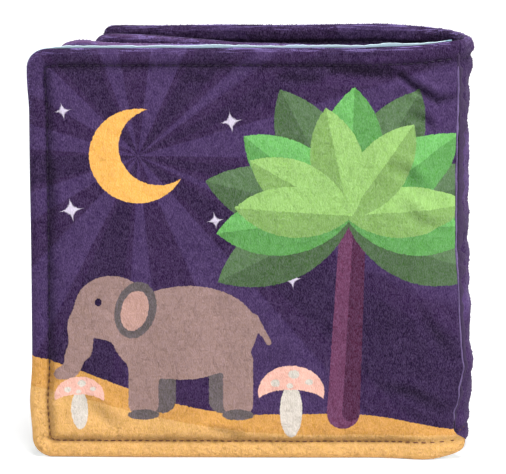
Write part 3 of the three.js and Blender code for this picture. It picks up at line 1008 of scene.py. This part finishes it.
def dusk_picture(paint):
    """Hills at dusk under a mauve sky."""
    tint = colours()
    high = paint.math("MULTIPLY_ADD", paint.y, 1.6, -1.4, clamp=True)
    stars = ((0.3, 1.3, 0.04), (0.8, 1.18, 0.035), (1.2, 1.34, 0.04))
    hills = (("pink", 0.56, 0.09, 3.0, 1.2), ("sand", 0.36, 0.06, 3.8, 0.2))
    sky = paint.over(tint.dusk, tint.night, high)
    return landscape(paint, sky, stars, hills, ((mushroom, 0.7, 0.42, 0.3),))


def starry_picture(paint):
    """A plain night sky with small stars over low hills."""
    stars = (
        (0.2, 1.35, 0.03), (0.55, 1.5, 0.028), (0.95, 1.42, 0.03), (1.35, 1.52, 0.026),
        (0.4, 1.0, 0.03), (1.1, 1.05, 0.03), (0.75, 0.75, 0.03), (1.4, 0.8, 0.026),
    )
    hills = (("sand_dark", 0.3, 0.06, 3.0, 0.4),)
    return landscape(paint, night_sky(paint, (0.8, 1.0), 7), stars, hills, ())


# Materials

# How a cloth looks: how far its nap, its tufts and broad patches change its shade, how much darker
# its painted shade makes it in grooves and folds, the tint of its raised tips, the strength and depth
# of its bump, and the shader's roughness, specular level and sheen
Finish = namedtuple("Finish", "swings press tips bump roughness specular sheen")
PLUSH = Finish((0.12, 0.1, 0.3), -0.5, (0.14, 0.104, 0.184), (0.5, 0.0006), 0.92, 0.12, 0.22)
WEAVE = Finish((0.12, 0.1, 0.1), -0.2, (0, 0, 0), (0.25, 0.0002), 0.7, 0.3, 0.1)
SHEEN_ROUGHNESS = 0.32
SHEEN_TINT = (0.75, 0.62, 0.95, 1)
DARKEST = (0.012, 0.006, 0.02)  # no cloth is darker than this
# Painted highlight: the pale mauve laid along the rims of plush
RIM_HIGHLIGHT = srgb(165, 128, 182)
# Size in metres, detail and stretch of the noises of the nap, the tufts and the broad patches, and of
# the streaks
GRAINS = (
    (0.00045, 1.0, (1.3, 1.3, 0.5)), (0.0017, 3.0, (1, 1, 0.6)), (0.012, 3.0, (1, 1, 0.6)),
)
STREAKS = (0.0006, 2.0, (0.05, 1.1, 1.2))
STREAK_RISE = 0.03  # the streaks come in over this height, from four times it
LOW_TOP = 0.036  # where a thread's low colour ends
SHADED = 0.7  # darkest shade of a plain material


def new_material(name):
    made = bpy.data.materials.new(name)
    made.use_nodes = True
    return made, next(node for node in made.node_tree.nodes if node.type == "BSDF_PRINCIPLED")


def cloth_material(name, picture, finish=PLUSH, depth=1.0, rim=0.0):
    """Printed cloth: short napped pile, or a smooth fine weave.

    depth paints light or shade over the whole print, making it lighter or darker, and rim is how strong
    the painted mauve highlight along the edge of a plush is."""
    made, shader = new_material(name)
    paint = Paint(made.node_tree)
    colour = picture(paint)
    # The painted crease shade and the nearness to the rim, kept on each vertex
    marks = paint.add("ShaderNodeAttribute", attribute_name="marks").outputs["Vector"]
    pressing_and_crease_shade, edge, _ = paint.parts(marks)
    nap, tufts, patches = (paint.noise(*grain) for grain in GRAINS)
    if finish is PLUSH:
        # A painted mauve highlight along the rim, and high up thin streaks of the pale backing
        mauve = paint.math("MULTIPLY", paint.math("POWER", edge, 2.5), rim)
        colour = paint.over(colour, RIM_HIGHLIGHT, mauve)
        streaks = paint.math("MULTIPLY_ADD", paint.noise(*STREAKS), 11.0, -5.9, clamp=True)
        up = paint.parts(paint.object_place(STREAK_RISE))[2]
        high = paint.math("MULTIPLY", paint.math("SUBTRACT", up, 4.0, clamp=True), edge)
        colour = paint.over(colour, colours().base_cloth, paint.math("MULTIPLY", high, streaks))
    else:
        colour = paint.over(colour, colours().rim_white, edge)
    # Painted shade darkens the grooves and folds, and depth paints light or shade over the whole print
    shade = paint.math("MULTIPLY", paint.math("MULTIPLY_ADD", pressing_and_crease_shade, finish.press, 1.0), depth)
    for grain, amount in zip((nap, tufts, patches), finish.swings):
        shade = paint.math("MULTIPLY", shade, paint.swing(grain, amount))
    tips = paint.math("SUBTRACT", paint.math("MULTIPLY_ADD", tufts, 0.3, nap), 0.65)
    lit = paint.vector("MULTIPLY_ADD", tips, finish.tips, paint.vector("MULTIPLY", colour, shade))
    paint.settle(shader, {
        "Base Color": paint.vector("MAXIMUM", lit, DARKEST),
        "Normal": paint.bump(paint.math("ADD", tufts, nap), *finish.bump),
        "Roughness": finish.roughness,
        "Specular IOR Level": finish.specular,
        "Sheen Weight": finish.sheen,
        "Sheen Roughness": SHEEN_ROUGHNESS,
        "Sheen Tint": SHEEN_TINT,
    })
    return made


def plain_material(name, colour, roughness, scale, strength, sheen=0.0, low=None):
    """One colour with fine uneven shade and bump, for thread, film and cord.

    low is the colour that it takes near its foot."""
    made, shader = new_material(name)
    paint = Paint(made.node_tree)
    grain = paint.noise(scale, 3.0)
    shaded = paint.over(tuple(part * SHADED for part in colour), colour, grain)
    if low:
        up = paint.parts(paint.object_place(LOW_TOP))[2]
        shaded = paint.over(shaded, low, paint.math("MULTIPLY_ADD", up, -8.0, 8.5, clamp=True))
    paint.settle(shader, {
        "Base Color": shaded,
        "Normal": paint.bump(grain, strength, scale),
        "Roughness": roughness,
        "Sheen Weight": sheen,
    })
    return made


# Maker of each material and what it is given
MATERIALS = {
    "cover_print_plush": (cloth_material, cover_picture),
    # Painted light: depth makes the print of the spine and the back cover lighter
    "back_print_plush": (cloth_material, back_picture, PLUSH, 1.2),
    "day_lining": (cloth_material, day_picture, WEAVE),
    # The dusk plushes get a painted mauve highlight along their rims, faint on the first and stronger on
    # the second
    "dusk_plush": (cloth_material, dusk_picture, PLUSH, 1.0, 0.15),
    "mauve_plush": (cloth_material, dusk_picture, PLUSH, 1.0, 0.5),
    # Painted shade: depth makes the starry print inside the book darker
    "starry_plush": (cloth_material, starry_picture, PLUSH, 0.8),
    "gathered_plush": (plain_material, "night", 0.95, 0.0012, 0.6),
    # The ridge's paler purple is partly the paler backing at the sewn edge and partly a painted highlight
    # along the crease
    "seam_plush": (plain_material, srgb(118, 97, 147), 0.9, 0.0012, 0.6, 0.1),
    "sewing_thread": (plain_material, "thread", 0.6, 0.0004, 0.4, 0.0, srgb(104, 56, 40)),
    "seam_thread": (plain_material, "thread", 0.7, 0.0004, 0.4),
    "crinkle_film": (plain_material, srgb(222, 226, 230), 0.25, 0.004, 0.8),
}


def material(name):
    """A cloth or thread of the book by its name, made when it is first asked for."""
    if name not in bpy.data.materials:
        make, first, *values = MATERIALS[name]
        if isinstance(first, str):
            first = tuple(getattr(colours(), first))
        make(name, first, *values)
    return bpy.data.materials[name]


# Operators

# Part, cloth and slot of the left and the right panel of each leaf
PANELS = {
    "front_cover": (
        ("plush", "cover_print_plush", "cover_plush"), ("lining", "day_lining", "day_print"),
    ),
    "leaf_2": (
        ("front_panel", "mauve_plush", "dusk_print"), ("back_panel", "mauve_plush", "dusk_print"),
    ),
    "leaf_3": (
        ("front_panel", "dusk_plush", "dusk_print"), ("back_panel", "starry_plush", "night_print"),
    ),
    "back_cover": (
        ("lining", "starry_plush", "night_print"), ("plush", "back_print_plush", "cover_plush"),
    ),
}
# Mesh cells of the panels whose pile shows most, as narrow as its tufts, by leaf and side
FINE_CELLS = {("front_cover", 1): (0.8 * MM, 1.42 * MM), ("back_cover", -1): (0.9 * MM, 1.4 * MM)}
THREAD_NODES = ("needle_thread", "bobbin_thread")


class CLOTHBOOK_OT_stage(bpy.types.Operator):
    """Make the white floor, the soft studio light and the camera"""

    bl_idname = "cloth_book.stage"
    bl_label = "Floor, light and camera"

    def execute(self, context):
        make_floor()
        make_lights(context.scene)
        make_camera(context.scene)
        return {"FINISHED"}


class CLOTHBOOK_OT_leaves(bpy.types.Operator):
    """Make the padded panels of the front cover and the two inner leaves"""

    bl_idname = "cloth_book.leaves"
    bl_label = "Front cover and inner leaves"

    def execute(self, context):
        sheets = make_sheets()
        for name in ("front_cover", "leaf_2", "leaf_3"):
            dress_leaf(sheets[name], (name,), ride_leaf)
        return {"FINISHED"}


class CLOTHBOOK_OT_back(bpy.types.Operator):
    """Make the bowed spine and the back cover, each panel one piece of cloth across the fold"""

    bl_idname = "cloth_book.back"
    bl_label = "Spine loop and back cover"

    def execute(self, context):
        dress_leaf(make_sheets()["back_cover"], ("back_cover", "spine_loop"), across_fold)
        return {"FINISHED"}


def dress_leaf(sheet, stretches, carry):
    """Makes a leaf's padded panels, each in the place of the nodes of these stretches of the leaf."""
    for side, (part, cloth, slot) in zip((1, -1), PANELS[sheet.name]):
        cell = FINE_CELLS.get((sheet.name, side), [sizes().grid] * 2)
        pile = cloth.endswith("plush")
        made = cloth_panel(f"{sheet.name}_{part}_cloth", sheet, side, material(cloth), cell, pile)
        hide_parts(*[f"{stretch}_{part}" for stretch in stretches])
        carry(made, sheet.name)


def ride_leaf(made, name):
    """An inner leaf turns whole. The front cover keeps the place where it was made."""
    if name == "front_cover":
        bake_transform(made)
    else:
        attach(made, "second_leaf" if name == "leaf_2" else "third_leaf")


def across_fold(made, name):
    """The piece keeps the place where it was made, one piece across the spine and the back cover."""
    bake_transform(made)


class CLOTHBOOK_OT_stitches(bpy.types.Operator):
    """Lay the rows of stitches in the grooves of every leaf"""

    bl_idname = "cloth_book.stitches"
    bl_label = "Stitches"

    def execute(self, context):
        thread = material("sewing_thread")
        for name, sheet in make_sheets().items():
            for side, node in zip((1, -1), THREAD_NODES):
                row = stitch_row(f"{name}_{node}_stitches", sheet, side, thread)
                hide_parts(f"{name}_{node}")
                if name == "back_cover":
                    loop_node = THREAD_NODES[0 if side < 0 else 1]
                    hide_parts(f"spine_loop_top_{loop_node}", f"spine_loop_bottom_{loop_node}")
                    across_fold(row, name)
                else:
                    ride_leaf(row, name)
        return {"FINISHED"}


class CLOTHBOOK_OT_seam(bpy.types.Operator):
    """Make the gathered seam at the crease and its threads"""

    bl_idname = "cloth_book.seam"
    bl_label = "Seam"

    def execute(self, context):
        made = seam_cord()
        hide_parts("spine_seam_core")
        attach(made, "spine")
        finish_nodes("spine_seam", "thread", "seam_thread")
        return {"FINISHED"}


CORD_SIDES, CORD_RINGS = 14, 120
THICK_FROM, THICK_TO, THICKER = 60 * MM, 90 * MM, 0.5  # a cord is thicker by half above these heights
TIP_RUN = 6  # length of a cord's tapered ends, in radii
# The gathered cloth in the crease and the thin ridge at its front: place beside the seam, radius, foot
# and top, unevenness, seed, share of the crease's wandering, and share of the radius at the tips
CORDS = (
    (0, 0, 1.5 * MM, 1 * MM, HEIGHT - 0.7 * MM, 0.15, 1, 0.2, 0.9),
    (0.2 * MM, -2.3 * MM, 0.28 * MM, 14 * MM, HEIGHT - 8.5 * MM, 0.9, 5, 1.0, 0.15),
)


def upright_cord(mesh, beside, before_seam, radius, low, high, ripple, seed, follow, tip):
    """A standing cord of gathered cloth that swells and follows the wandering crease."""
    x, y = SEAM[0] + beside, SEAM[1] + before_seam
    before = set(mesh.verts)
    bmesh.ops.create_cone(
        mesh, cap_ends=True, segments=CORD_SIDES, radius1=radius, radius2=radius, depth=high - low,
        matrix=Matrix.Translation((x, y, (low + high) / 2)),
    )
    sides = [
        e for e in mesh.edges
        if e.verts[0] not in before and abs(e.verts[0].co.z - e.verts[1].co.z) > (high - low) / 2
    ]
    bmesh.ops.subdivide_edges(mesh, edges=sides, cuts=CORD_RINGS, use_grid_fill=True)
    for vertex in [v for v in mesh.verts if v not in before]:
        up = vertex.co.z
        angle = math.atan2(vertex.co.y - y, vertex.co.x - x)
        swell = 1 + ripple * noise.noise(Vector((angle * 0.6, seed, up / (4 * MM))))
        swell *= 1 + THICKER * float(smooth_step(THICK_FROM, THICK_TO, up))
        taper = min(1.0, max(min(up - low, high - up), 0) / (TIP_RUN * radius) + tip)
        reach = math.hypot(vertex.co.x - x, vertex.co.y - y) * swell * taper
        shift = follow * float(table(up, CREASE_HEIGHTS_MM, CREASE_SHIFTS_MM))
        vertex.co.x = x + reach * math.cos(angle) + shift
        vertex.co.y = y + reach * math.sin(angle)


def seam_cord():
    """The cloth gathered inside the crease, with the thin ridge that shows at its front."""
    mesh = bmesh.new()
    upright_cord(mesh, *CORDS[0])
    inside = set(mesh.faces)
    upright_cord(mesh, *CORDS[1])
    for face in mesh.faces:
        face.material_index = 0 if face in inside else 1
    bmesh.ops.recalc_face_normals(mesh, faces=mesh.faces)
    made = new_object("spine_seam_gather", mesh, material("gathered_plush"))
    made.data.materials.append(material("seam_plush"))
    return made


def finish_nodes(start, end, cloth):
    """Gives the CAD nodes with this start and end of their names a finish of their own."""
    for name, node in frame["nodes"].items():
        if not (name.startswith(start) and name.endswith(end)):
            continue
        if not node.material_slots:
            node.data.materials.append(material(cloth))
        for place in node.material_slots:
            place.material = material(cloth)


class CLOTHBOOK_OT_films(bpy.types.Operator):
    """Give the crinkle films inside the leaves their finish"""

    bl_idname = "cloth_book.films"
    bl_label = "Crinkle films"

    def execute(self, context):
        finish_nodes("", "crinkle_film", "crinkle_film")
        return {"FINISHED"}


# Stage

FLOOR_HALF = 3.0
FLOOR_GREY = (0.8, 0.8, 0.8, 1)
FLOOR_GLOW = 0.5  # what the camera sees beside the light that falls on the floor
WORLD_LIGHT, WORLD_SEEN = 0.2, 1.0  # strength of the background as a light, and where it is seen
LAMPS = (
    # name, place, size, power in watts
    ("left_light", (-1.5, -0.8, 0.9), 0.9, 13.0),
    ("right_light", (1.5, -0.6, 0.8), 0.8, 24.0),
    ("top_light", (0.1, -0.5, 1.7), 0.7, 21.0),
)
LAMPS_AIM = Vector((0, 0, 0.08))


def make_floor():
    mesh = bmesh.new()
    bmesh.ops.create_grid(mesh, x_segments=1, y_segments=1, size=FLOOR_HALF)
    floor = new_object("floor", mesh, floor_material())


def floor_material():
    """White to the camera, with the book's shadow kept."""
    made, shader = new_material("white_floor")
    nodes = Nodes(made.node_tree)
    seen = nodes.add("ShaderNodeLightPath").outputs["Is Camera Ray"]
    nodes.settle(shader, {
        "Base Color": FLOOR_GREY, "Roughness": 1.0, "Emission Color": (1, 1, 1, 1),
        "Emission Strength": nodes.math("MULTIPLY", seen, FLOOR_GLOW),
    })
    return made


def make_lights(scene):
    for name, place, size, power in LAMPS:
        lamp = bpy.data.lights.new(name, "AREA")
        lamp.shape = "DISK"
        lamp.size = size
        lamp.energy = power
        made = bpy.data.objects.new(name, lamp)
        scene.collection.objects.link(made)
        made.location = place
        made.rotation_euler = (LAMPS_AIM - Vector(place)).to_track_quat("-Z", "Y").to_euler()
    scene.world = scene.world or bpy.data.worlds.new("studio")
    scene.world.use_nodes = True
    nodes = Nodes(scene.world.node_tree)
    nodes.tree.nodes.clear()
    rays = nodes.add("ShaderNodeLightPath").outputs
    seen = nodes.math("MAXIMUM", rays["Is Camera Ray"], rays["Is Glossy Ray"])
    strength = {"Value": seen, "To Min": WORLD_LIGHT, "To Max": WORLD_SEEN}
    strength = nodes.settle(nodes.add("ShaderNodeMapRange"), strength)
    back = nodes.settle(nodes.add("ShaderNodeBackground"), {"Strength": strength.outputs[0]})
    nodes.settle(nodes.add("ShaderNodeOutputWorld"), {"Surface": back.outputs[0]})
    scene.view_settings.view_transform = "Standard"


CAMERA_ELEVATION = math.radians(16.5)
CAMERA_ROLL = math.radians(-0.2)
CAMERA_DISTANCE = 2.0
CAMERA_TARGET = (0.0002, FRONT_Y + 0.0025, 0.0906)
CAMERA_CLIP = (0.1, 50)
SENSOR_WIDTH = 36
METRES_PER_PIXEL = 0.0003906  # at the target
PICTURE_WIDTH = 506


def make_camera(scene):
    camera = bpy.data.cameras.new("camera")
    camera.sensor_width = SENSOR_WIDTH
    camera.lens = SENSOR_WIDTH * CAMERA_DISTANCE / (METRES_PER_PIXEL * PICTURE_WIDTH)
    camera.clip_start, camera.clip_end = CAMERA_CLIP
    made = bpy.data.objects.new("camera", camera)
    scene.collection.objects.link(made)
    back = Vector((0, -math.cos(CAMERA_ELEVATION), math.sin(CAMERA_ELEVATION)))
    look = (-back).to_track_quat("-Z", "Y")
    made.location = Vector(CAMERA_TARGET) + back * CAMERA_DISTANCE
    made.rotation_mode = "QUATERNION"
    made.rotation_quaternion = look @ Matrix.Rotation(-CAMERA_ROLL, 3, "Z").to_quaternion()
    scene.camera = made


class CLOTHBOOK_PT_panel(bpy.types.Panel):
    """Lists the steps that dress the cloth book"""

    bl_label = "Cloth book"
    bl_idname = "CLOTHBOOK_PT_panel"
    bl_space_type = "VIEW_3D"
    bl_region_type = "UI"
    bl_category = "Cloth book"

    def draw(self, context):
        for settings in (context.scene.cloth_book_sizes, context.scene.cloth_book_colours):
            for name in settings.bl_rna.properties.keys():
                if name not in ("rna_type", "name"):
                    self.layout.prop(settings, name)
        for step in STEPS:
            self.layout.operator(step.bl_idname)


STEPS = (
    CLOTHBOOK_OT_stage,
    CLOTHBOOK_OT_leaves,
    CLOTHBOOK_OT_back,
    CLOTHBOOK_OT_stitches,
    CLOTHBOOK_OT_seam,
    CLOTHBOOK_OT_films,
)
CLASSES = (ClothBookSizes, ClothBookColours, *STEPS, CLOTHBOOK_PT_panel)


def register():
    for made in CLASSES:
        bpy.utils.register_class(made)
    bpy.types.Scene.cloth_book_sizes = bpy.props.PointerProperty(type=ClothBookSizes)
    bpy.types.Scene.cloth_book_colours = bpy.props.PointerProperty(type=ClothBookColours)


def unregister():
    del bpy.types.Scene.cloth_book_colours
    del bpy.types.Scene.cloth_book_sizes
    for made in reversed(CLASSES):
        bpy.utils.unregister_class(made)


def main():
    register()
    bpy.ops.cloth_book.stage()
    bpy.ops.cloth_book.leaves()
    bpy.ops.cloth_book.back()
    bpy.ops.cloth_book.stitches()
    bpy.ops.cloth_book.seam()
    bpy.ops.cloth_book.films()


if __name__ == "__main__":
    main()
